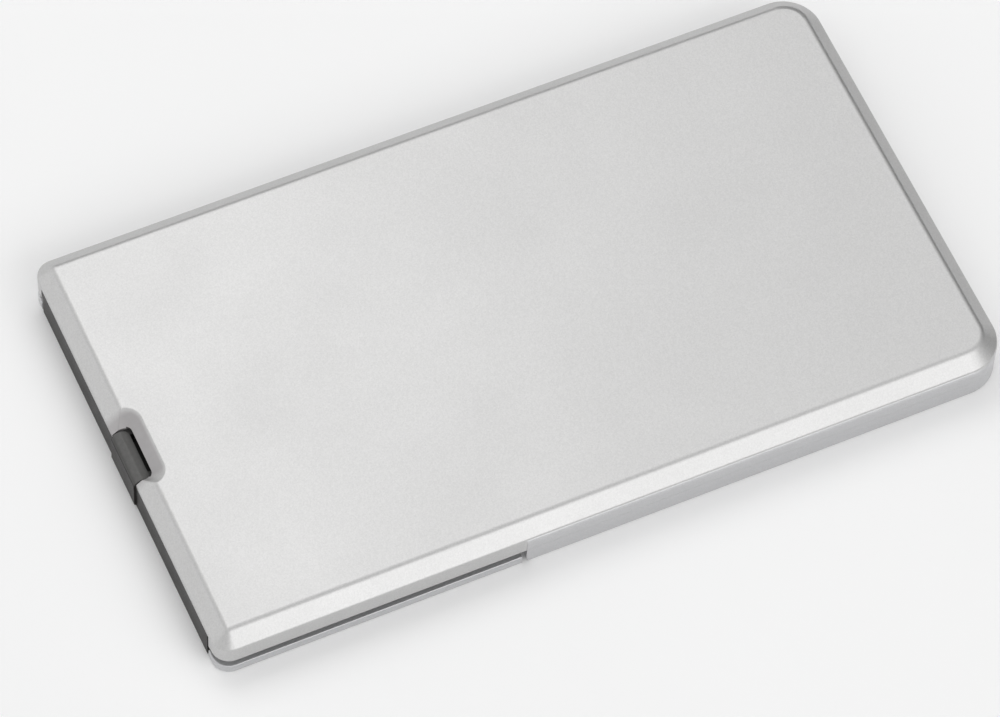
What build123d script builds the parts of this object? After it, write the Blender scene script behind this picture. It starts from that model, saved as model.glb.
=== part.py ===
"""Slim pocket magnifier with a light, folded into its own flat case.

The case is a silver cover over a dark chassis. A framed lens lies in a bay that is
open underneath, and swings out about the hinge bar at one short end. The coin cells
sit at the other short end, behind a door that slides out.

Axes: X along the case, hinge end at -X; Y across it; Z up from the face it lies on.
The origin is under the middle of the bounding box. Lengths are in millimetres.
"""
from build123d import *
import os

os.makedirs("parts", exist_ok=True)

# Driving dimensions of the case
case_length = 110.4
case_width = 62.0
case_height = 7.4
nose_proud = 0.3
half_width = case_width / 2
hinge_face = -(case_length + nose_proud) / 2 + nose_proud

corner_hinge_end = 2.4
corner_battery_end = 5.2
smallest_corner = 0.25
bevel_height = 1.8
bevel_width = 2.1
cover_wall = 1.0
bevel_foot = case_height - bevel_height
cover_edge = 5.42
flat_round = 1.1
foot_round = 0.35
rim_round = 0.25
roof = 6.4

# Levels, measured up from the face that the case lies on
rail_top = 1.6
slot_top = 2.95
shell_top = 2.9
band_bottom = 2.92
band_top = 5.12
band_round = 0.6
under_round = 0.3
plate_bottom = 3.3
plate_top = 4.1
strip = 0.2

# Places along the case, measured from its hinge face
rail_end = 41.6
shell_start = 42.2
bay_end = 88.0
plate_start = 6.0
band_wall = 1.2
rail_width = 2.5
guard_width = 2.5
toe_round = 1.2
chassis_wall_outer = half_width - 1.3
chassis_wall_inner = half_width - 2.4

# Hinge
axis_x = 2.0
axis_z = 2.2
bar_radius = 3.35
bar_clearance = 3.45
bar_half = 27.3
lug_inner = 27.7
lug_inset = 1.15
pin_radius = 0.70
socket_bore = 0.73
socket_radius = 1.2
underside_gap = 0.1

# Thumb nose and the scoop that it stands in
nose_half = 3.8
nose_y = -0.3
nose_corner = 0.7
nose_top = 6.1
window_gap = 0.18
scoop_half = 5.95
scoop_end = 4.1
scoop_corner = 2.3
window_corner = 0.9
scoop_floor = 6.3
nose_back = 2.05
lamp_half = 3.0

# Lens unit
frame_start = 5.45
frame_end = 87.4
frame_half = 28.2
frame_bottom = 0.4
frame_top = 2.9
lens_start = 8.5
lens_length = 76.0
lens_width = 49.0
lens_bottom = 0.95
lens_thickness = 1.8
lens_ledge = 1.1
tongue_places = (-17.0, 0.0, 17.0)

# Battery end
cell_x = 99.5
cell_y = 9.2
cell_radius = 8.0
cell_bottom = 1.15
cell_height = 3.2
floor_top = 1.6
door_start = 91.2
door_half = 18.0
door_bottom = 0.05

# Fasteners
cover_screw_places = [(x, y) for x in (16.0, 80.0) for y in (-25.0, 25.0)]
case_screw_places = [(x, y) for x in (91.5, 105.0) for y in (-25.0, 25.0)]
board_screw_places = [(27.5, -10.5), (27.5, 10.5)]
rail_peg_places = (12.0, 24.0, 36.0)
guard_peg_places = (48.0, 62.0, 76.0)
peg_y = half_width - 1.85
peg_radius = 0.35

SILVER = Color(0.80, 0.80, 0.82)
DARK = Color(0.16, 0.16, 0.17)


def hx(distance):
    """X of a place given as its distance from the hinge face of the case."""
    return hinge_face + distance


def block(x0, x1, y0, y1, z0, z1):
    """A box between two corners, X given from the hinge face."""
    centre = Pos(hx((x0 + x1) / 2), (y0 + y1) / 2, (z0 + z1) / 2)
    return centre * Box(x1 - x0, y1 - y0, z1 - z0)


def post(x, y, z0, z1, radius):
    """An upright round post."""
    return Pos(hx(x), y, (z0 + z1) / 2) * Cylinder(radius, z1 - z0)


def rod(x, z, y0, y1, radius):
    """A round rod lying across the case."""
    turned = Rot(90, 0, 0) * Cylinder(radius, y1 - y0)
    return Pos(hx(x), (y0 + y1) / 2, z) * turned


def rounded(x0, x1, half, r_hinge, r_battery):
    """A rectangle with its own corner radius at each short end."""
    face = Pos(hx((x0 + x1) / 2), 0) * Rectangle(x1 - x0, 2 * half)
    face = fillet(face.vertices().sort_by(Axis.X)[:2], r_hinge)
    return fillet(face.vertices().sort_by(Axis.X)[-2:], r_battery)


def outline(inset):
    """The case's outline, moved inwards by inset."""
    r_hinge = corner_hinge_end - inset
    r_battery = corner_battery_end - inset
    return rounded(inset, case_length - inset, half_width - inset, max(r_hinge, smallest_corner), r_battery)


def prism(face, z0, z1):
    """A face drawn on the ground, as a prism between two levels."""
    return extrude(Pos(0, 0, z0) * face, z1 - z0)


def capped(inset, z0, z1, run):
    """A solid whose sides lean inwards by run from the outline at z0 to the level z1."""
    low = Pos(0, 0, z0) * outline(inset)
    high = Pos(0, 0, z1) * outline(inset + run)
    return loft([low.face(), high.face()])


def level_edges(shape, z):
    """The edges of a shape that lie at one level."""
    return shape.edges().filter_by_position(Axis.Z, z - 0.001, z + 0.001)


def both_sides(shape):
    """A shape and its mirror image on the far long side."""
    return shape + mirror(shape, Plane.XZ)


def save(shape, node, colour=DARK):
    shape.label = node
    shape.color = colour
    export_step(shape, f"parts/{node}.step")


def scoop():
    """The thumb scoop: sloped walls down to a straight window round the nose."""
    low_half = nose_half + window_gap
    low_end = nose_back + window_gap
    high = Pos(0, 0, case_height) * rounded(-6, scoop_end, scoop_half, 0.2, scoop_corner)
    opening = Pos(0, nose_y) * rounded(-6, low_end, low_half, 0.2, window_corner)
    low = Pos(0, 0, scoop_floor) * opening
    return loft([low.face(), high.face()]) + prism(opening, 0, scoop_floor)


def top_cover():
    cover = prism(outline(0), cover_edge, bevel_foot) + capped(0, bevel_foot, case_height, bevel_width)
    cover = fillet(level_edges(cover, case_height), flat_round)
    cover = fillet(level_edges(cover, bevel_foot), foot_round)
    hinge_part = block(0, shell_start - 0.03, -half_width, half_width, slot_top, cover_edge)
    cover = cover + (prism(outline(0), slot_top, cover_edge) & hinge_part)
    inner_run = bevel_width * (roof - bevel_foot) / bevel_height
    cover = cover - prism(outline(cover_wall), slot_top - 1, bevel_foot)
    cover = cover - capped(cover_wall, bevel_foot, roof, inner_run)
    low_half = nose_half + window_gap
    cheeks = block(1.2, 5.0, -7.5, nose_y - low_half, 5.75, roof)
    cheeks = cheeks + block(1.2, 5.0, nose_y + low_half, 7.5, 5.75, roof)
    bosses = [post(x, y, plate_top, roof, 1.6) for x, y in cover_screw_places + case_screw_places]
    cover = cover + cheeks + bosses
    cover = cover - rod(axis_x, axis_z, -lug_inner, lug_inner, bar_clearance)
    cover = cover - scoop()
    rim = level_edges(cover, case_height).filter_by_position(Axis.X, hx(bevel_width), hx(scoop_end + 0.01))
    cover = fillet([edge for edge in rim if abs(edge.center().Y) < scoop_half + 0.01], rim_round)
    for x, y in cover_screw_places + case_screw_places:
        cover = cover - post(x, y, 0, 5.9, 0.5)
    return cover


def cell_wells():
    wells = [post(cell_x, y, 0, roof, cell_radius + 0.15) for y in (-cell_y, cell_y)]
    return wells[0] + wells[1]


def chassis():
    inside = prism(outline(1.3), 0, roof)
    plate = block(plate_start, case_length, -half_width, half_width, plate_bottom, plate_top) & inside
    wall_left = block(4.0, rail_end, chassis_wall_inner, chassis_wall_outer, rail_top, 5.4)
    wall_right = block(rail_end, bay_end, chassis_wall_inner, chassis_wall_outer, shell_top, 5.2)
    corner = block(1.0, 4.9, lug_inner, half_width, 1.0, plate_top) & prism(outline(lug_inset), 0, roof)
    battery_block = block(90.4, 108.6, -19.5, 19.5, floor_top + 0.05, plate_bottom)
    body = plate + both_sides(wall_left + wall_right + corner) + battery_block
    body = body + [post(x, y, shell_top, plate_bottom, 1.7) for x, y in case_screw_places]
    body = body + [post(x, y, plate_top, 4.5, 1.0) for x in (12.0, 27.5) for y in (-10.5, 10.5)]
    body = body - cell_wells()
    body = body - block(0, 7.6, -5.6, 5.6, 0, roof)
    body = body - both_sides(rod(axis_x, axis_z, lug_inner - 1, lug_inner + 1.4, pin_radius))
    for x, y in case_screw_places:
        body = body - post(x, y, 0, roof, 0.65)
    for x, y in cover_screw_places:
        body = body - post(x, y, 0, roof, 0.65) - post(x, y, 0, plate_bottom + 0.45, 1.2)
    for x, y in board_screw_places:
        body = body - post(x, y, plate_bottom + 0.2, roof, 0.4)
    for x in rail_peg_places + guard_peg_places:
        body = body - both_sides(post(x, peg_y, 0, 4.0, peg_radius + 0.03))
    return body


def near_rail():
    """Silver rail beside the bay, wrapped round the corner as the lug over the hinge pin."""
    whole = prism(outline(0), 0, rail_top)
    whole = fillet(whole.edges().group_by(Axis.Z)[0], under_round)
    whole = fillet(whole.edges().group_by(Axis.Z)[-1], 0.12)
    side = block(0, rail_end, -half_width, -half_width + rail_width, 0, rail_top)
    lug = block(0, 4.3, -half_width, -lug_inner, 0, rail_top)
    pocket = block(1.0, 4.95, -half_width, -lug_inner + 1, 0.95, rail_top + 1)
    rail = (side + lug) & whole
    rail = rail - (pocket & prism(outline(lug_inset - 0.05), 0, rail_top + 1))
    pegs = [post(x, -peg_y, rail_top - 0.3, 3.6, peg_radius) for x in rail_peg_places]
    return rail + pegs


def mid_band():
    """Upper half of the grip: a wall round the battery end, rounded along its top edge."""
    whole = prism(outline(0), band_bottom, band_top)
    whole = fillet(whole.edges().group_by(Axis.Z)[-1], band_round)
    ring = whole - prism(outline(band_wall), 0, roof)
    return ring & block(shell_start, case_length, -half_width, half_width, 0, roof)


def lower_shell():
    """Lower half of the grip: a guard along each side of the bay and the battery floor."""
    whole = prism(outline(0), 0, shell_top)
    whole = fillet(whole.edges().group_by(Axis.Z)[0], under_round)
    guards = both_sides(block(shell_start, bay_end, half_width - guard_width, half_width, 0, shell_top))
    end = block(bay_end, case_length, -half_width, half_width, 0, shell_top)
    toe = block(shell_start - 1, shell_start + toe_round, -half_width, half_width, -1, toe_round)
    toe = toe - rod(shell_start + toe_round, toe_round, -half_width, half_width, toe_round)
    hollow = prism(outline(band_wall), floor_top, roof)
    hollow = hollow & block(bay_end + 0.8, case_length, -half_width, half_width, 0, roof)
    shell = ((guards + end) & whole) - toe - hollow
    shell = shell + [post(x, y, floor_top, shell_top, 1.7) for x, y in case_screw_places]
    shell = shell - block(door_start - 0.2, 120, -door_half - 0.15, door_half + 0.15, -1, 0.45)
    shell = shell - block(door_start - 0.2, 120, -door_half - 1.35, door_half + 1.35, 0.4, 1.12)
    shell = shell - block(door_start + 0.1, 107.8, -17.5, 17.5, 1, roof)
    for x, y in case_screw_places:
        shell = shell - post(x, y, -1, roof, 0.7) - post(x, y, -1, 1.0, 1.4)
    for x in guard_peg_places:
        shell = shell + both_sides(post(x, peg_y, shell_top - 0.3, 3.7, peg_radius))
    return shell


def battery_door():
    outer = block(door_start, case_length, -door_half, door_half, door_bottom, 0.5)
    tongue = block(door_start, case_length - 0.1, -door_half - 1.2, door_half + 1.2, 0.5, 1.0)
    door = outer + tongue - block(92.5, 106.5, -17.0, 17.0, 0.85, 2)
    for ridge in range(5):
        x = 98.0 + 1.4 * ridge
        door = door - block(x, x + 0.7, -6, 6, -1, 0.3)
    return door


def cell_link_plate():
    """Joins the lower faces of the two cells; it lies in the door."""
    plate = block(92.7, 106.3, -16.8, 16.8, 0.85, 1.05)
    return plate - block(96, 103, -4, 4, 0, 2)


def coin_cells():
    cells = []
    for y in (-cell_y, cell_y):
        can = post(cell_x, y, cell_bottom, cell_bottom + cell_height, cell_radius)
        cells.append(chamfer(can.edges(), 0.2))
    return cells[0] + cells[1]


def cell_contact(side):
    """Leaf that rises off the chassis and lies over the middle of one cell."""
    y = side * cell_y
    foot = block(86.5, 90.6, y - 2, y + 2, plate_top, plate_top + strip)
    riser = block(90.4, 90.6, y - 2, y + 2, plate_top, 4.7)
    leaf = block(90.4, 101.5, y - 2, y + 2, 4.5, 4.7)
    return foot + riser + leaf + post(cell_x, y, cell_bottom + cell_height + 0.02, 4.6, 0.9)


def battery_leads():
    lead = block(28.55, 86.4, cell_y - 0.75, cell_y + 0.75, plate_top, plate_top + strip)
    return both_sides(lead)


def circuit_board():
    board = block(9.0, 29.0, -12, 12, 4.5, 5.1)
    for x, y in board_screw_places:
        board = board - post(x, y, 4, 6, 0.55)
    return board


def driver_chip():
    body = chamfer(block(18, 22, -2, 2, 5.2, 6.0).edges().group_by(Axis.Z)[-1], 0.15)
    pins = [block(x, x + 0.4, -2.8, 2.8, 5.1, 5.3) for x in (18.4, 19.4, 20.4, 21.2)]
    return body + pins


def chip_resistors():
    parts = [block(13.0, 14.6, y, y + 0.9, 5.1, 5.6) for y in (-6.0, -3.0, 2.0, 5.0)]
    return parts[0] + parts[1] + parts[2] + parts[3]


def choke_coil():
    return post(24.5, 7.0, 5.1, 5.4, 2.0) + post(24.5, 7.0, 5.4, 5.9, 1.5) + post(24.5, 7.0, 5.9, 6.15, 2.0)


def feed_strips():
    """Flat leads from the board to the two hinge pins, which carry the lamp current."""
    across = block(9.3, 10.7, 9.0, 28.4, plate_top, plate_top + strip)
    along = block(2.2, 10.7, 27.9, 28.4, plate_top, plate_top + strip)
    return both_sides(across + along)


def switch_leaf():
    """Leaf contact that the hinge bar lets go as the lens swings out."""
    leaf = block(5.7, 9.6, 6.2, 8.2, 4.35, 4.5)
    return leaf + block(5.7, 5.9, 6.2, 8.2, 3.9, 4.5)


def detent_springs():
    foot = block(5.6, 8.9, 13, 19, plate_top, plate_top + strip)
    tip = block(5.6, 5.8, 13, 19, 3.7, plate_top + strip)
    return both_sides(foot + tip)


def hinge_pins():
    pin = rod(axis_x, axis_z, 22.0, lug_inner + 1.3, pin_radius)
    return both_sides(chamfer(pin.edges(), 0.15))


def hinge_washers():
    ring = rod(axis_x, axis_z, 27.36, 27.66, 1.9) - rod(axis_x, axis_z, 27, 28, socket_bore)
    return both_sides(ring)


def screw(x, y, head_z, head_height, tip_z, head_radius, shank_radius):
    """A small screw driven upwards, with a cross recess in its head."""
    head = post(x, y, head_z, head_z + head_height, head_radius)
    shank = post(x, y, head_z, tip_z, shank_radius)
    arm = head_radius * 0.6
    cross = block(x - arm, x + arm, y - 0.12, y + 0.12, head_z - 1, head_z + head_height * 0.5)
    cross = cross + block(x - 0.12, x + 0.12, y - arm, y + arm, head_z - 1, head_z + head_height * 0.5)
    return head + shank - cross


def group(shapes):
    """Several identical pieces as one node."""
    whole = shapes[0]
    for shape in shapes[1:]:
        whole = whole + shape
    return whole


def cover_screws():
    return group([screw(x, y, plate_bottom, 0.4, 5.8, 1.1, 0.5) for x, y in cover_screw_places])


def case_screws():
    return group([screw(x, y, 0.25, 0.7, 5.8, 1.3, 0.5) for x, y in case_screw_places])


def board_screws():
    shapes = []
    for x, y in board_screw_places:
        head = post(x, y, 5.1, 5.6, 1.0) - block(x - 0.7, x + 0.7, y - 0.12, y + 0.12, 5.35, 6)
        shapes.append(head + post(x, y, plate_bottom + 0.3, 5.1, 0.4))
    return group(shapes)


def bay_bumpers():
    """Soft pads that the free end of the lens frame lies against."""
    pad = block(bay_end - 0.35, bay_end, 12, 18, 0.9, 2.5)
    return both_sides(pad)


def nose():
    """Thumb lever and lamp housing in the middle of the hinge bar."""
    points = [(-nose_proud, 0.6), (0.1, underside_gap), (3.5, underside_gap), (3.5, 2.2)]
    points = points + [(nose_back, 4.2), (nose_back, 5.7), (1.0, nose_top)]
    points = points + [(0.7, nose_top), (0.2, 5.9), (-0.15, 5.5), (-nose_proud, 5.0)]
    corners = [(hx(x), z) for x, z in points]
    face = Plane.XZ * make_face(Polyline(corners, close=True))
    plan = prism(rounded(-2, nose_back, nose_half, 0.2, nose_corner), 4.2, case_height)
    plan = plan + block(-2, 6, -nose_half, nose_half, -1, 4.2)
    return Pos(0, nose_y, 0) * (extrude(face, nose_half, both=True) & plan)


def lamp_recess():
    """Hollow in the nose for the lamp, open towards the lens side."""
    return block(0.5, nose_back + 1, -lamp_half, lamp_half, 4.25, 5.6)


def hinge_bar():
    bar = rod(axis_x, axis_z, -bar_half, bar_half, bar_radius)
    flange = block(axis_x, frame_start - 0.05, -bar_half, bar_half, frame_bottom, frame_top)
    bar = (bar + flange) & block(0, 10, -bar_half, bar_half, underside_gap, 10)
    bar = bar + nose() - lamp_recess()
    bar = bar - both_sides(rod(axis_x, axis_z, 21.5, bar_half + 1, socket_radius))
    bar = bar - both_sides(rod(axis_x, 3.9, 3.0, 21.0, 0.3))
    for y in tongue_places:
        bar = bar - block(3.6, 10, y - 4.55, y + 4.55, 1.05, 2.15)
        bar = bar - post(4.4, y, 0, 2.6, 0.4) - post(4.4, y, 0, 0.75, 0.85)
    return bar


def pin_sockets():
    """Metal bushes in the bar, which turn on the pins and pass the current."""
    ring = rod(axis_x, axis_z, 21.5, 27.2, socket_radius) - rod(axis_x, axis_z, 21, 28, socket_bore)
    return both_sides(ring)


def lens_frame():
    frame = prism(rounded(frame_start, frame_end, frame_half, 0.8, 2.0), frame_bottom, frame_top)
    frame = chamfer(frame.edges().group_by(Axis.Z)[0], 0.25)
    lens_end = lens_start + lens_length
    half = lens_width / 2
    seat = rounded(lens_start - 0.1, lens_end + 0.1, half + 0.1, 1.6, 1.6)
    sight = rounded(lens_start + lens_ledge, lens_end - lens_ledge, half - lens_ledge, 1.2, 1.2)
    frame = frame - prism(seat, lens_bottom, 4) - prism(sight, 0, 4)
    for y in tongue_places:
        frame = frame + block(3.7, frame_start + 0.5, y - 4.5, y + 4.5, 1.1, 2.1)
        frame = frame - post(4.4, y, 0, 3, 0.4)
    return frame


def lens():
    plan = rounded(lens_start, lens_start + lens_length, lens_width / 2, 1.5, 1.5)
    return prism(plan, lens_bottom, lens_bottom + lens_thickness)


def lens_frame_screws():
    return group([screw(4.4, y, 0.38, 0.37, 2.55, 0.8, 0.4) for y in tongue_places])


def lamp_board():
    return block(0.52, 0.9, 0.1 - lamp_half, lamp_half - 0.1, 4.3, 5.5)


def lamp():
    package = block(0.9, 1.3, -1.6, 1.6, 4.35, 5.45)
    return package + block(1.3, 1.5, -1.2, 1.2, 4.5, 5.3)


def lamp_window():
    pane = block(1.6, nose_back, -lamp_half, lamp_half, 4.25, 5.6)
    return chamfer(pane.edges().group_by(Axis.X)[-1], 0.12)


def lamp_wires():
    return both_sides(rod(axis_x, 3.9, 3.6, 20.8, 0.22))


save(top_cover(), "top_cover", SILVER)
save(chassis(), "chassis")
save(near_rail(), "near_rail", SILVER)
save(mirror(near_rail(), Plane.XZ), "far_rail", SILVER)
save(mid_band(), "mid_band", SILVER)
save(lower_shell(), "lower_shell", SILVER)
save(battery_door(), "battery_door", SILVER)
save(cell_link_plate(), "cell_link_plate")
save(coin_cells(), "coin_cells")
save(cell_contact(1), "positive_contact")
save(cell_contact(-1), "negative_contact")
save(battery_leads(), "battery_leads")
save(circuit_board(), "circuit_board")
save(driver_chip(), "driver_chip")
save(chip_resistors(), "chip_resistors")
save(choke_coil(), "choke_coil")
save(feed_strips(), "feed_strips")
save(switch_leaf(), "switch_leaf")
save(detent_springs(), "detent_springs")
save(hinge_pins(), "hinge_pins")
save(hinge_washers(), "hinge_washers")
save(cover_screws(), "cover_screws")
save(case_screws(), "case_screws")
save(board_screws(), "board_screws")
save(bay_bumpers(), "bay_bumpers")
save(hinge_bar(), "hinge_bar")
save(pin_sockets(), "pin_sockets")
save(lens_frame(), "lens_frame")
save(lens(), "lens")
save(lens_frame_screws(), "lens_frame_screws")
save(lamp_board(), "lamp_board")
save(lamp(), "lamp")
save(lamp_window(), "lamp_window")
save(lamp_wires(), "lamp_wires")
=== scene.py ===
# %% [markdown]
# # A folding pocket magnifier, closed in its own silver case
#
# The design of the case, its sizes and its joints come from a imported model. This script
# loads that model as a fixed frame and gives it its looks: a grooved lens, lacquer,
# plastic and metal, and a small studio to see them in.
#
# All lengths are in metres, so a millimetre is written as `mm`.

import math

import bmesh
import bpy
from mathutils import Matrix, Vector


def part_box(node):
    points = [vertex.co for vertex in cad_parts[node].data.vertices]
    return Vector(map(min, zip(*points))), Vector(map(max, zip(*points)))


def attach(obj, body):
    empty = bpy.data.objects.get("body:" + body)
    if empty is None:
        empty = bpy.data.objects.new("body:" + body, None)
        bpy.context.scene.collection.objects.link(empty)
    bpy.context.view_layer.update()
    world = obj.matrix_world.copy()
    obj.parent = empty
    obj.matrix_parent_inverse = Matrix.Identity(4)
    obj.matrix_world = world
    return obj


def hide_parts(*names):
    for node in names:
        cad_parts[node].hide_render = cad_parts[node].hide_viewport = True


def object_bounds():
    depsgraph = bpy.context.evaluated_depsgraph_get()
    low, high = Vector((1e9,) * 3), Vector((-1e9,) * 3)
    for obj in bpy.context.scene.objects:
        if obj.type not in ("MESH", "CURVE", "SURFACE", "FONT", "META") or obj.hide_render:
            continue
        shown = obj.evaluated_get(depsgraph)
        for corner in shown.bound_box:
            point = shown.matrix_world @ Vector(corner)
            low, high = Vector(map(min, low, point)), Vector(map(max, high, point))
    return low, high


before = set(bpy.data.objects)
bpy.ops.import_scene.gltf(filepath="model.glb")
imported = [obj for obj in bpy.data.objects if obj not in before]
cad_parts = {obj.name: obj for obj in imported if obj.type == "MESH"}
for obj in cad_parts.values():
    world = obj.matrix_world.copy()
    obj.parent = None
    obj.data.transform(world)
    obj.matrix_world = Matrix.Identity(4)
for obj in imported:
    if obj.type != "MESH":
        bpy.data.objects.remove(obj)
cad_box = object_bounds()
print("CAD box in mm:", [[round(v * 1000, 2) for v in corner] for corner in cad_box])

# %% [markdown]
# ## Where things are
#
# The case lies along X with its hinge end at -X, and it is as wide to one side of the
# middle as to the other. The new pieces and most patterns take their places from the
# model's own parts. Only the painted shade in the thumb scoop has a place of its own.

# %% Driving places
mm = 0.001
cover_low, cover_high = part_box("top_cover")
case_size = [round((high - low) / mm, 2) for low, high in zip(*cad_box)]
print("whole case in mm:", case_size, "with a cover", round((cover_high.z - cover_low.z) / mm, 2), "deep")

# %% [markdown]
# ## The camera
#
# The case is seen from above its near left corner with a long lens, a little tilted,
# so its far end runs up to the right. The camera is placed by an aim point, two angles
# and a distance. Its three axes are worked out from those and put in its matrix.

# %% Camera
aim = Vector((-4.69 * mm, -4.41 * mm, 4.0 * mm))
azimuth, elevation, roll = (math.radians(a) for a in (-27.127, 58.823, 3.435))
distance = 797.8 * mm
level, lift = math.cos(elevation), math.sin(elevation)
back = Vector((math.sin(azimuth) * level, -math.cos(azimuth) * level, lift))
level_right = (-back).cross(Vector((0, 0, 1))).normalized()
level_up = level_right.cross(-back)
right = math.cos(roll) * level_right + math.sin(roll) * level_up
up = math.cos(roll) * level_up - math.sin(roll) * level_right
camera_data = bpy.data.cameras.new("studio_camera")
camera_data.lens = 223.74
camera_data.sensor_width = 36
camera_data.clip_start = 0.01
camera = bpy.data.objects.new("studio_camera", camera_data)
bpy.context.scene.collection.objects.link(camera)
turn = Matrix((right, up, back)).transposed().to_4x4()
camera.matrix_world = Matrix.Translation(aim + back * distance) @ turn
bpy.context.scene.camera = camera
print("camera at", [round(v, 3) for v in camera.matrix_world.translation])

# %% [markdown]
# ## The studio
#
# A matt silver case shows the room more than its own colour. Each of its slopes
# mirrors a different direction, so the lamps are chosen one slope at a time: a wide
# panel behind for the flat top, a brighter one in front for the slope that faces the
# viewer, a small near one that favours the hinge end, a low one to the left for the
# slope at that end, and a sky for everything else.
# The view is set to Standard, which shows pale greys as they are. Blender's usual view
# presses them together, and a silver case would lose its shape in it.

# %% Floor, sky and lamps
def studio_floor():
    """A wide pale floor just under the case."""
    mesh = bpy.data.meshes.new("studio_floor")
    floor = bmesh.new()
    bmesh.ops.create_grid(floor, x_segments=1, y_segments=1, size=3.0)
    bmesh.ops.translate(floor, verts=floor.verts, vec=(0, 0, -0.02 * mm))
    floor.to_mesh(mesh)
    floor.free()
    thing = bpy.data.objects.new("studio_floor", mesh)
    bpy.context.scene.collection.objects.link(thing)
    return thing


def panel(name, towards, size, power, reach=1.2):
    """A rectangular soft lamp, out from the case in one direction and facing it."""
    lamp = bpy.data.lights.new(name, "AREA")
    lamp.shape = "RECTANGLE"
    lamp.size, lamp.size_y = size
    lamp.energy = power
    thing = bpy.data.objects.new(name, lamp)
    bpy.context.scene.collection.objects.link(thing)
    place = Vector(towards).normalized() * reach
    thing.matrix_world = Matrix.Translation(place) @ place.to_track_quat("Z", "Y").to_matrix().to_4x4()
    return thing


floor = studio_floor()
panel("front_panel", (0.25, -0.80, 0.60), (1.0, 0.6), 3.05)
panel("back_panel", (0.24, 0.50, 0.85), (1.1, 0.9), 1.65)
panel("near_left_panel", (-0.05, 0.52, 0.86), (0.3, 0.3), 0.28, 0.55)
panel("left_panel", (-0.90, 0.40, 0.28), (0.8, 0.5), 0.45)
bpy.context.scene.view_settings.view_transform = "Standard"

# %% [markdown]
# ## Writing finishes as sums
#
# A material in Blender is a graph of nodes. Written out link by link it is hard to
# read, so one small class wraps a node's output and lets Python's own signs add the
# Math nodes: `1 - mask` or `grain * 0.2 + 0.3` read as what they do. Every other node
# is added by one method, which the sky uses as well as the materials.

# %% Signals and nodes
STRIPE = math.pi / 10  # Blender's wave texture has one stripe in pi / 10 at scale 1


class Signal:
    """A node's output. Arithmetic on it adds Math nodes."""

    def __init__(self, graph, socket):
        self.graph = graph
        self.socket = socket

    def maths(self, operation, first, second):
        return self.graph.add("ShaderNodeMath", {"operation": operation}, {0: first, 1: second}).out(0)

    def __add__(self, other):
        return self.maths("ADD", self, other)

    def __rsub__(self, other):
        return self.maths("SUBTRACT", other, self)

    def __mul__(self, other):
        return self.maths("MULTIPLY", self, other)

    __radd__ = __add__
    __rmul__ = __mul__


class Made:
    """A node just added, whose outputs are taken by name or number."""

    def __init__(self, graph, node):
        self.graph = graph
        self.node = node

    def out(self, name):
        return Signal(self.graph, self.node.outputs[name])


class Graph:
    """A tree of nodes, of a material or of a sky."""

    def __init__(self, tree):
        self.tree = tree

    def feed(self, socket, value):
        if isinstance(value, Signal):
            self.tree.links.new(value.socket, socket)
        else:
            socket.default_value = value

    def add(self, kind, settings=None, inputs=None):
        """Adds one node: its settings first, then the values or links of its sockets."""
        node = self.tree.nodes.new(kind)
        for name, value in (settings or {}).items():
            setattr(node, name, value)
        for name, value in (inputs or {}).items():
            self.feed(node.inputs[name], value)
        return Made(self, node)

    def fit(self, value, low, high, new_low, new_high):
        """Spreads a stretch of a signal over a new stretch, and cuts it off outside."""
        inputs = {"Value": value, "From Min": low, "From Max": high, "To Min": new_low, "To Max": new_high}
        return self.add("ShaderNodeMapRange", {"clamp": True}, inputs).out(0)

    def spread(self, noise, new_low, new_high):
        """Spreads the middle of a noise, where nearly all of it lies, over a new stretch."""
        return self.fit(noise, 0.3, 0.7, new_low, new_high)


print("one stripe at scale 1 is", round(STRIPE / mm, 1), "mm wide")

# %% [markdown]
# ## One class for a finish
#
# All the finishes start from the same Principled shader. They differ in what feeds it,
# so a finish is a graph that also knows its shader, with a short name for each pattern
# that more than one finish needs.

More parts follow.
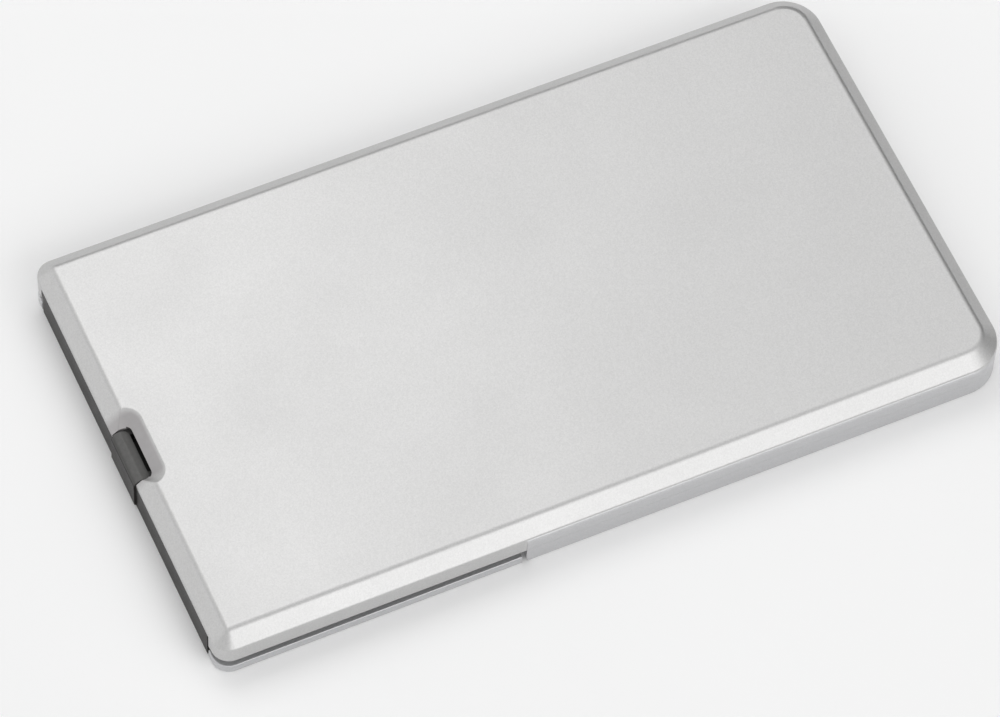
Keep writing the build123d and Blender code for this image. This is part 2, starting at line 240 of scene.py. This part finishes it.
# %% Finishes
class Finish(Graph):
    """One material: a Principled shader and whatever feeds it."""

    def __init__(self, name, **constants):
        self.material = bpy.data.materials.new(name)
        self.material.use_nodes = True
        super().__init__(self.material.node_tree)
        self.shader = self.tree.nodes["Principled BSDF"]
        for socket, value in constants.items():
            self.give(socket.replace("_", " "), value)

    def place(self):
        """The point on the surface, in metres in the model's own axes."""
        return self.add("ShaderNodeTexCoord").out("Object")

    def along(self, axis):
        """How far along one axis the surface is."""
        return self.add("ShaderNodeSeparateXYZ", None, {0: self.place()}).out(axis)

    def away(self, x, y):
        """How far the surface is from an upright line, or from its mirror image past Y."""
        flat = {0: self.stretched((1, 1, 0))}
        plan = self.add("ShaderNodeVectorMath", {"operation": "ABSOLUTE"}, flat).out(0)
        inputs = {0: plan, 1: (x, y, 0.0)}
        return self.add("ShaderNodeVectorMath", {"operation": "DISTANCE"}, inputs).out("Value")

    def bands(self, pitch, axis, distortion=0.0):
        """Even stripes across one axis, from 0 to 1 and back in each pitch metres."""
        settings = {"wave_type": "BANDS", "bands_direction": axis, "wave_profile": "TRI"}
        inputs = {"Vector": self.place(), "Scale": STRIPE / pitch, "Distortion": distortion}
        return self.add("ShaderNodeTexWave", settings, inputs).out("Fac")

    def stretched(self, scale):
        """The same point with its axes scaled one by one."""
        return self.add("ShaderNodeMapping", None, {"Vector": self.place(), "Scale": scale}).out(0)

    def noise(self, size, detail=2.0, vector=None):
        """Soft noise whose blobs are about size metres across, from 0 to 1."""
        inputs = {"Vector": vector or self.place(), "Scale": 1 / size, "Detail": detail}
        return self.add("ShaderNodeTexNoise", None, inputs).out(0)

    def cells(self, size, output="Color"):
        """Small cells, each with its own random value."""
        inputs = {"Vector": self.place(), "Scale": 1 / size}
        return self.add("ShaderNodeTexVoronoi", None, inputs).out(output)

    def mix(self, amount, first, second):
        """A colour between two colours."""
        inputs = {0: amount, 6: first, 7: second}
        return self.add("ShaderNodeMix", {"data_type": "RGBA"}, inputs).out(2)

    def bump(self, height, depth):
        """Relief of the given depth in metres."""
        inputs = {"Height": height, "Distance": depth, "Strength": 1.0}
        self.give("Normal", self.add("ShaderNodeBump", None, inputs).out(0))

    def give(self, name, value):
        """Feeds one of the shader's sockets."""
        self.feed(self.shader.inputs[name], value)

    def given(self, name):
        """What feeds one of the shader's sockets so far."""
        return Signal(self, self.shader.inputs[name].links[0].from_socket)


def paint(finish, *nodes):
    """Gives CAD nodes a finish in place of the plain one that they came with."""
    for node in nodes:
        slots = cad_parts[node].data.materials
        slots.clear()
        slots.append(finish.material)


print("CAD nodes to paint:", len(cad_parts))

# %% [markdown]
# ## The sky
#
# An even sky would light the far and right-hand slopes as much as the others. In a room
# one side is always dimmer, so the sky fades towards the low far right. A world has
# nodes like a material: a ray's direction is its Generated coordinate, and the product
# of that with one fixed direction says how far the ray points that way.

# %% Sky
def fading_sky(strength, dimmest, dim_side):
    """A white sky that fades to dimmest where it points to one side."""
    fade_starts, fade_ends = 0.3, 0.78
    sky = bpy.data.worlds.new("studio_sky")
    bpy.context.scene.world = sky
    sky.use_nodes = True
    air = Graph(sky.node_tree)
    sides = {0: air.add("ShaderNodeTexCoord").out("Generated"), 1: Vector(dim_side).normalized()}
    product = air.add("ShaderNodeVectorMath", {"operation": "DOT_PRODUCT"}, sides).out("Value")
    background = air.tree.nodes["Background"]
    air.feed(background.inputs["Color"], (1, 1, 1, 1))
    air.feed(background.inputs["Strength"], air.fit(product, fade_starts, fade_ends, strength, dimmest))
    return sky


sky = fading_sky(0.76, 0.04, (0.85, 0.5, -0.2))
print("sky:", sky.name)

# %% [markdown]
# ## Silver lacquer
#
# The shells are lacquered with fine metal flakes. Seen close that is a grey with a
# sparkle a fifth of a millimetre across. Flakes that lie at their own small angles are
# a noise in the relief, and the same noise with small cells varies the brightness.
#
# The thumb scoop gets painted shade, a darker tone than the rest of the cover. It isn't
# another finish: its slopes catch more light in this studio than they should, and the
# painted shade makes up for it. Soft limits along the three axes keep it inside the scoop.

# %% Silver lacquer
def silver_lacquer(name, dull, bright, flake_depth):
    silver = Finish(name, Metallic=0.72, Specular_IOR_Level=0.5)
    speck = silver.cells(0.16 * mm)
    grain = silver.noise(0.22 * mm, 3.0)
    cloud = silver.noise(14 * mm, 2.0)
    tone = silver.spread(grain * 0.6 + speck * 0.4, 0.0, 1.0)
    silver.give("Base Color", silver.mix(tone, dull, bright))
    silver.give("Roughness", silver.spread(grain * 0.5 + cloud * 0.5, 0.36, 0.43))
    silver.bump(grain * 0.6 + speck * 0.4, flake_depth)
    return silver


def between(finish, value, low, high, blur):
    """1 where a signal is between two values, 0 elsewhere, with soft edges."""
    rise = finish.fit(value, low, low + blur, 0.0, 1.0)
    fall = finish.fit(value, high - blur, high, 1.0, 0.0)
    return rise * fall


def paint_shade_in_scoop(silver, dull, bright):
    """Paints shade on the thumb scoop's far and back slopes: a darker grey than the rest of the cover."""
    end, top = cover_low.x, cover_high.z
    scoop_reach = 4.4 * mm
    near_side, far_side = -5.2 * mm, 6.1 * mm
    depth = silver.fit(silver.along("Z"), top - 0.25 * mm, top - 0.05 * mm, 1.0, 0.0)
    length = between(silver, silver.along("X"), end - 1 * mm, end + scoop_reach, 0.1 * mm)
    width = between(silver, silver.along("Y"), near_side, far_side, 1.2 * mm)
    # painted shade: a darker grey mixed into the scoop's slopes
    painted_scoop_grey = silver.mix(silver.noise(1.4 * mm, 3.0), dull, bright)
    silver.give("Base Color", silver.mix(depth * length * width, silver.given("Base Color"), painted_scoop_grey))


cover_silver = silver_lacquer("cover_silver", (0.530, 0.528, 0.526, 1), (0.596, 0.594, 0.591, 1), 0.0035 * mm)
# painted shade in the thumb scoop
paint_shade_in_scoop(cover_silver, (0.375, 0.364, 0.366, 1), (0.455, 0.443, 0.446, 1))
rail_silver = silver_lacquer("rail_silver", (0.552, 0.553, 0.562, 1), (0.606, 0.607, 0.616, 1), 0.002 * mm)
paint(rail_silver, "near_rail", "far_rail", "mid_band", "lower_shell", "battery_door")
paint(cover_silver, "top_cover")
print("silver parts share", cover_silver.material.name, "and", rail_silver.material.name)

# %% [markdown]
# ## Dark moulded plastic
#
# The chassis, hinge bar and lens frame are moulded in grey plastic from a mould that was
# lightly spark-etched, so they have a fine pebbled skin and no mirror. All three share
# that skin and differ in colour. The hinge bar is nearly black, and the top of its nose
# gets a painted highlight, a lighter tone, so that the ridge stands out. The chassis is a
# lighter grey, so that it still looks grey in the narrow slot under the cover.

# %% Dark plastic
def pebbled_skin(name, depth, gloss):
    """Plastic with its relief and gloss but no colour yet, and its soft patches."""
    plastic = Finish(name, Specular_IOR_Level=gloss)
    pebbles = plastic.noise(0.12 * mm, 3.0)
    patches = plastic.noise(3 * mm, 3.0)
    plastic.give("Roughness", plastic.spread(pebbles * 0.6 + patches * 0.4, 0.36, 0.52))
    plastic.bump(pebbles, depth)
    return plastic, patches


def dark_plastic(name, dark, light, depth):
    plastic, patches = pebbled_skin(name, depth, 0.5)
    plastic.give("Base Color", plastic.mix(plastic.spread(patches, 0, 1), dark, light))
    return plastic


def bar_with_painted_nose_highlight(name):
    """The bar's plastic, with a painted highlight: a lighter tone on top of the nose."""
    plastic, _ = pebbled_skin(name, 0.006 * mm, 0.2)
    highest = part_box("hinge_bar")[1].z
    top = plastic.fit(plastic.along("Z"), highest - 1.0 * mm, highest - 0.2 * mm, 0.0, 1.0)
    mottle = plastic.noise(0.5 * mm, 4.0)
    moulded = plastic.mix(mottle, (0.018, 0.017, 0.016, 1), (0.030, 0.028, 0.027, 1))
    # painted highlight: a lighter grey on top of the nose, chosen by height
    painted_highlight_grey = plastic.mix(mottle, (0.095, 0.094, 0.092, 1), (0.135, 0.134, 0.131, 1))
    plastic.give("Base Color", plastic.mix(top, moulded, painted_highlight_grey))
    return plastic


# the hinge bar's plastic, with a painted highlight on its nose
bar_plastic = bar_with_painted_nose_highlight("bar_plastic")
frame_plastic = dark_plastic("frame_plastic", (0.030, 0.030, 0.031, 1), (0.046, 0.046, 0.047, 1), 0.008 * mm)
chassis_plastic = dark_plastic("chassis_plastic", (0.19, 0.19, 0.195, 1), (0.25, 0.25, 0.256, 1), 0.01 * mm)
paint(bar_plastic, "hinge_bar")
paint(frame_plastic, "lens_frame")
paint(chassis_plastic, "chassis")
print("plastics:", bar_plastic.material.name, frame_plastic.material.name, chassis_plastic.material.name)

# %% [markdown]
# ## The floor's paper
#
# The case stands on plain pale paper. It only has to catch soft shade, so its finish is
# nearly white, quite dull, and barely mottled.

# %% Floor paper
paper = Finish("floor_paper", Roughness=0.9, Specular_IOR_Level=0.2)
mottle = paper.noise(60 * mm, 2.0)
paper.give("Base Color", paper.mix(mottle, (0.955, 0.955, 0.955, 1), (0.975, 0.975, 0.975, 1)))
floor.data.materials.append(paper.material)
print("floor finish:", paper.material.name)

# %% [markdown]
# ## Cutting and finishing a bmesh
#
# A new piece starts as a bmesh, Blender's mesh for editing. Three jobs come up at its
# end: a plane cuts off what is too much and the hole it leaves is filled, curved faces
# are shaded smooth while real edges stay crisp, and the mesh becomes an object that
# rides on one of the model's bodies.

# %% Trim, sharpen and make a piece
def trim(sheet, point, outwards):
    """Cuts off all that is past a plane, and closes the cut."""
    everything = sheet.verts[:] + sheet.edges[:] + sheet.faces[:]
    bmesh.ops.bisect_plane(sheet, geom=everything, plane_co=point, plane_no=outwards, clear_outer=True)
    rim = [edge for edge in sheet.edges if edge.is_boundary]
    bmesh.ops.holes_fill(sheet, edges=rim, sides=0)


def sharpen(shape, limit=0.35):
    """Smooth faces, with every edge that turns by more than limit radians kept crisp."""
    for face in shape.faces:
        face.smooth = True
    for edge in shape.edges:
        edge.smooth = edge.calc_face_angle(0.0) < limit


def piece(name, shape, body, finish):
    """Makes an object of a finished bmesh and says what it rides on."""
    mesh = bpy.data.meshes.new(name)
    shape.to_mesh(mesh)
    shape.free()
    thing = bpy.data.objects.new(name, mesh)
    bpy.context.scene.collection.objects.link(thing)
    mesh.materials.append(finish.material)
    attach(thing, body)
    print(name, "has", len(mesh.polygons), "faces")
    return thing


# %% [markdown]
# ## The lens
#
# A thick magnifying lens would not go into a flat case, so this one is a thin sheet
# with rings moulded into its upper face, each a narrow slice of a big lens's curve. The
# steeper the ring, the deeper its step, so steps grow from the middle outwards.
#
# The rings could be drawn in a bump map, but light has to bend through them, so they
# are cut in the mesh. One half profile is spun a full turn into a disc, and planes then
# trim the disc to the rounded oblong that fits the frame. Each cut leaves a hole, which
# is filled at once, so the sheet stays closed.

# %% Lens with moulded rings
ring_pitch = 0.9 * mm
deepest_step = 0.32 * mm
slope_share = 0.92  # of each ring is slope, and the rest is its steep step
turn_steps = 90
lens_corner = 1.5 * mm
spare_rim = 1.5 * mm
planes = 24


def lens_profile(sheet, reach, low, high):
    """Half a section through the disc: flat below, saw teeth above."""
    rings = int(reach / ring_pitch)
    points = [(0.0, low), (rings * ring_pitch, low)]
    for ring in range(rings, 0, -1):
        points.append((ring * ring_pitch, high - deepest_step * ring / rings))
        points.append(((ring - slope_share) * ring_pitch, high))
    points.append((0.0, high))
    chain = [sheet.verts.new((x, 0.0, z)) for x, z in points]
    edges = [sheet.edges.new(pair) for pair in zip(chain, chain[1:])]
    return chain + edges


def ringed_lens(finish):
    low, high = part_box("lens")
    middle = (low + high) / 2
    half = (high - low) / 2
    sheet = bmesh.new()
    profile = lens_profile(sheet, math.hypot(half.x, half.y) + spare_rim, low.z, high.z)
    full_turn = {"cent": (0, 0, 0), "axis": (0, 0, 1), "angle": math.tau, "steps": turn_steps}
    bmesh.ops.spin(sheet, geom=profile, use_merge=True, **full_turn)
    bmesh.ops.remove_doubles(sheet, verts=sheet.verts, dist=0.001 * mm)
    bmesh.ops.recalc_face_normals(sheet, faces=sheet.faces)
    for step in range(planes):
        angle = math.tau * step / planes
        outwards = Vector((math.cos(angle), math.sin(angle), 0))
        point = outwards * lens_corner
        point.x += math.copysign(half.x - lens_corner, outwards.x)
        point.y += math.copysign(half.y - lens_corner, outwards.y)
        trim(sheet, point, outwards)
    bmesh.ops.translate(sheet, verts=sheet.verts, vec=(middle.x, middle.y, 0))
    sharpen(sheet)
    return piece("ringed_lens", sheet, "lens_unit", finish)


print("rings are", round(ring_pitch / mm, 2), "mm apart and up to", round(deepest_step / mm, 2), "mm deep")

# %% [markdown]
# ## Clear acrylic
#
# The lens and the little lamp window are moulded acrylic. It bends light a little less
# than glass. A clear thing looks unreal when it is perfect, so fine wiping marks vary
# its gloss, and a very weak tint shows in its thick places.

# %% Clear acrylic
def clear_acrylic(name, tint):
    acrylic = Finish(name, Transmission_Weight=0.96, IOR=1.49, Specular_IOR_Level=0.5)
    wiping = acrylic.noise(1.0, 3.0, acrylic.stretched((400, 2600, 400)))
    smears = acrylic.noise(11 * mm, 3.0)
    acrylic.give("Roughness", acrylic.fit(wiping * 0.5 + smears * 0.5, 0.35, 0.7, 0.015, 0.07))
    acrylic.give("Base Color", acrylic.mix(smears, tint, (0.99, 0.995, 0.995, 1)))
    acrylic.bump(wiping, 0.0006 * mm)
    return acrylic


lens_acrylic = clear_acrylic("lens_acrylic", (0.93, 0.97, 0.965, 1))
window_acrylic = clear_acrylic("window_acrylic", (0.95, 0.96, 0.93, 1))
paint(window_acrylic, "lamp_window")
lens = ringed_lens(lens_acrylic)
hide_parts("lens")

# %% [markdown]
# ## Plated steel
#
# Screws, pins, washers, springs and the cans of the cells are steel under nickel. The
# lower end of each cell has a dark gasket ring, drawn by the distance from its middle. All
# are bright, but each was worked in its own way: the cells' faces are brushed one way,
# and small turned parts keep fine rings. One recipe takes the direction as a scale, so
# noise squeezed along one axis becomes a brushing.

# %% Steel finishes
def plated_steel(name, tone, brushing, rough):
    steel = Finish(name, Metallic=1.0, Specular_IOR_Level=0.5)
    strokes = steel.noise(1.0, 2.0, steel.stretched(brushing))
    handling = steel.noise(2.6 * mm, 4.0)
    light = tuple(min(1.0, c * 1.14) for c in tone)
    shade = steel.spread(strokes * 0.7 + handling * 0.3, 0.0, 1.0)
    steel.give("Base Color", steel.mix(shade, (*tone, 1), (*light, 1)))
    steel.give("Roughness", steel.spread(strokes * 0.6 + handling * 0.4, rough, rough + 0.16))
    steel.bump(strokes, 0.0012 * mm)
    return steel


cell_can = plated_steel("cell_can", (0.60, 0.60, 0.58), (700, 9000, 700), 0.20)
cell_low, cell_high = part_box("coin_cells")
cell_radius = (cell_high.x - cell_low.x) / 2
from_middle = cell_can.away(cell_high.x - cell_radius, cell_high.y - cell_radius)
gasket = between(cell_can, from_middle, cell_radius - 0.9 * mm, cell_radius - 0.45 * mm, 0.06 * mm)
ends = cell_can.fit(cell_can.along("Z"), cell_low.z + 0.3 * mm, cell_low.z + 0.4 * mm, 1.0, 0.0)
gasket_black = (0.05, 0.05, 0.05, 1)
cell_can.give("Base Color", cell_can.mix(gasket * ends, cell_can.given("Base Color"), gasket_black))
cell_can.give("Metallic", 1 - gasket * ends)
screw_steel = plated_steel("screw_steel", (0.48, 0.48, 0.47), (6000, 6000, 2500), 0.26)
spring_steel = plated_steel("spring_steel", (0.44, 0.43, 0.41), (12000, 900, 900), 0.30)
paint(cell_can, "coin_cells")
paint(screw_steel, "cover_screws", "case_screws", "board_screws", "lens_frame_screws")
paint(screw_steel, "hinge_pins", "hinge_washers")
paint(spring_steel, "detent_springs")
print("steel finishes:", cell_can.material.name, screw_steel.material.name, spring_steel.material.name)

# %% [markdown]
# ## Brass
#
# Contacts, strips, sockets and the link plate are rolled brass. The rolling leaves
# faint lines along the strip, and air leaves brown patches, which are duller too: the
# same patches mix the colour and raise the roughness.

# %% Brass finish
def rolled_brass(name, bright, brown, rolling):
    brass = Finish(name, Metallic=1.0, Specular_IOR_Level=0.5)
    lines = brass.noise(1.0, 2.0, brass.stretched(rolling))
    patches = brass.fit(brass.noise(3.2 * mm, 4.0), 0.46, 0.72, 0.0, 1.0)
    brass.give("Base Color", brass.mix(patches, bright, brown))
    brass.give("Roughness", brass.spread(lines, 0.22, 0.34) + patches * 0.18)
    brass.bump(lines, 0.001 * mm)
    return brass


strip_brass = rolled_brass("strip_brass", (0.80, 0.62, 0.30, 1), (0.50, 0.34, 0.15, 1), (600, 8000, 600))
wire_tin = rolled_brass("wire_tin", (0.70, 0.68, 0.64, 1), (0.52, 0.47, 0.40, 1), (9000, 500, 9000))
paint(strip_brass, "positive_contact", "negative_contact", "battery_leads", "feed_strips", "switch_leaf")
paint(strip_brass, "pin_sockets", "cell_link_plate")
paint(wire_tin, "lamp_wires")
print("brass finishes:", strip_brass.material.name, wire_tin.material.name)

# %% [markdown]
# ## The circuit boards
#
# A board is woven glass under green lacquer. Copper tracks under the lacquer show as
# paler stripes, and drilled pads come through it as bright dots. Stripes come from a
# wave, dots from the distance to the nearest cell middle, and the weave from two finer
# waves. A narrow `fit` decides where each one shows.

# %% Board finishes
def board_lacquer(name, dot_spread):
    board = Finish(name, Specular_IOR_Level=0.5, Coat_Weight=0.3)
    tracks = board.fit(board.bands(1.3 * mm, "Y", 0.4), 0.66, 0.72, 0.0, 1.0)
    where = board.fit(board.noise(7 * mm, 1.0), 0.47, 0.50, 0.0, 1.0)
    dots = board.fit(board.cells(dot_spread, "Distance"), 0.10, 0.14, 1.0, 0.0)
    weave = board.bands(0.35 * mm, "X") * 0.5 + board.bands(0.35 * mm, "Y") * 0.5
    green = board.mix(weave, (0.012, 0.115, 0.045, 1), (0.018, 0.155, 0.062, 1))
    lines = board.mix(tracks * where, green, (0.045, 0.28, 0.10, 1))
    board.give("Base Color", board.mix(dots, lines, (0.66, 0.60, 0.48, 1)))
    board.give("Metallic", dots * 0.9)
    board.give("Roughness", board.fit(weave, 0.0, 1.0, 0.28, 0.36))
    board.bump(weave * 0.2 + tracks * where * 0.8, 0.02 * mm)
    return board


main_board = board_lacquer("main_board", 2.4 * mm)
paint(main_board, "circuit_board", "lamp_board")
print("board finish:", main_board.material.name)

# %% [markdown]
# ## The parts on the boards
#
# The chip is black moulded resin with bright legs, the resistors are grey with tinned
# ends, and the choke is copper wire between two dark cheeks. Each is one CAD node of two
# materials, so its finish changes with the place on the part: height tells wire from
# cheek, and distance along the case tells a resistor's ends from its middle.

# %% Electronic parts
def resin_and_legs(name, node):
    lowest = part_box(node)[0].z
    resin = Finish(name, Specular_IOR_Level=0.45)
    grain = resin.noise(0.15 * mm, 3.0)
    legs = resin.fit(resin.along("Z"), lowest + 0.18 * mm, lowest + 0.21 * mm, 1.0, 0.0)
    black = resin.mix(grain, (0.014, 0.014, 0.015, 1), (0.032, 0.032, 0.034, 1))
    resin.give("Base Color", resin.mix(legs, black, (0.62, 0.62, 0.60, 1)))
    resin.give("Metallic", legs)
    resin.give("Roughness", resin.spread(grain, 0.42, 0.60))
    resin.bump(grain, 0.004 * mm)
    return resin


def body_and_ends(name, node):
    low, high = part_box(node)
    part = Finish(name, Specular_IOR_Level=0.5)
    grain = part.noise(0.1 * mm, 2.0)
    middle = between(part, part.along("X"), low.x + 0.3 * mm, high.x - 0.3 * mm, 0.03 * mm)
    ends = part.mix(grain, (0.60, 0.60, 0.58, 1), (0.72, 0.72, 0.70, 1))
    part.give("Base Color", part.mix(middle, ends, (0.03, 0.03, 0.034, 1)))
    part.give("Metallic", 1 - middle)
    part.give("Roughness", part.spread(grain, 0.25, 0.42))
    part.bump(grain, 0.003 * mm)
    return part


def wire_and_cheeks(name, node):
    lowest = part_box(node)[0].z
    coil = Finish(name, Specular_IOR_Level=0.5)
    grain = coil.noise(0.12 * mm, 2.0)
    wire = between(coil, coil.along("Z"), lowest + 0.3 * mm, lowest + 0.8 * mm, 0.02 * mm)
    turns = coil.bands(0.12 * mm, "Z")
    copper = coil.mix(turns, (0.30, 0.10, 0.04, 1), (0.62, 0.26, 0.12, 1))
    dark = coil.mix(grain, (0.03, 0.03, 0.032, 1), (0.06, 0.06, 0.062, 1))
    coil.give("Base Color", coil.mix(wire, dark, copper))
    coil.give("Metallic", wire)
    coil.give("Roughness", coil.fit(turns * 0.5 + grain * 0.5, 0.2, 0.8, 0.25, 0.5))
    coil.bump(turns * wire, 0.03 * mm)
    return coil


paint(resin_and_legs("chip_resin", "driver_chip"), "driver_chip")
paint(body_and_ends("resistor_body", "chip_resistors"), "chip_resistors")
paint(wire_and_cheeks("choke_wire", "choke_coil"), "choke_coil")
print("electronic parts painted")

# %% [markdown]
# ## The lamp
#
# The lamp is a white package with a pale yellow window, the phosphor that turns its
# light white. Only the raised front is yellow, so distance along the case parts the two.

# %% Lamp finish
def lamp_package(name):
    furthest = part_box("lamp")[1].x
    package = Finish(name, Specular_IOR_Level=0.5, Coat_Weight=0.4)
    grain = package.noise(0.2 * mm, 2.0)
    front = package.fit(package.along("X"), furthest - 0.22 * mm, furthest - 0.18 * mm, 0.0, 1.0)
    white = package.mix(grain, (0.78, 0.78, 0.74, 1), (0.86, 0.86, 0.83, 1))
    package.give("Base Color", package.mix(front, white, (0.82, 0.70, 0.16, 1)))
    package.give("Roughness", package.spread(grain, 0.3, 0.5))
    package.bump(grain, 0.004 * mm)
    return package


lamp_white = lamp_package("lamp_package")
paint(lamp_white, "lamp")
print("lamp finish:", lamp_white.material.name)

# %% [markdown]
# ## Bumper rubber
#
# The pads are soft black rubber. Rubber is dull, slightly dusty, and never quite black.

# %% Rubber finish
def soft_rubber(name):
    rubber = Finish(name, Specular_IOR_Level=0.3, Sheen_Weight=0.15)
    dust = rubber.fit(rubber.noise(0.9 * mm, 5.0), 0.5, 0.75, 0.0, 1.0)
    skin = rubber.noise(0.18 * mm, 3.0)
    rubber.give("Base Color", rubber.mix(dust, (0.022, 0.022, 0.022, 1), (0.06, 0.058, 0.055, 1)))
    rubber.give("Roughness", rubber.spread(skin, 0.7, 0.88))
    rubber.bump(skin, 0.008 * mm)
    return rubber


paint(soft_rubber("bumper_rubber"), "bay_bumpers")
print("finishes in all:", len(bpy.data.materials))
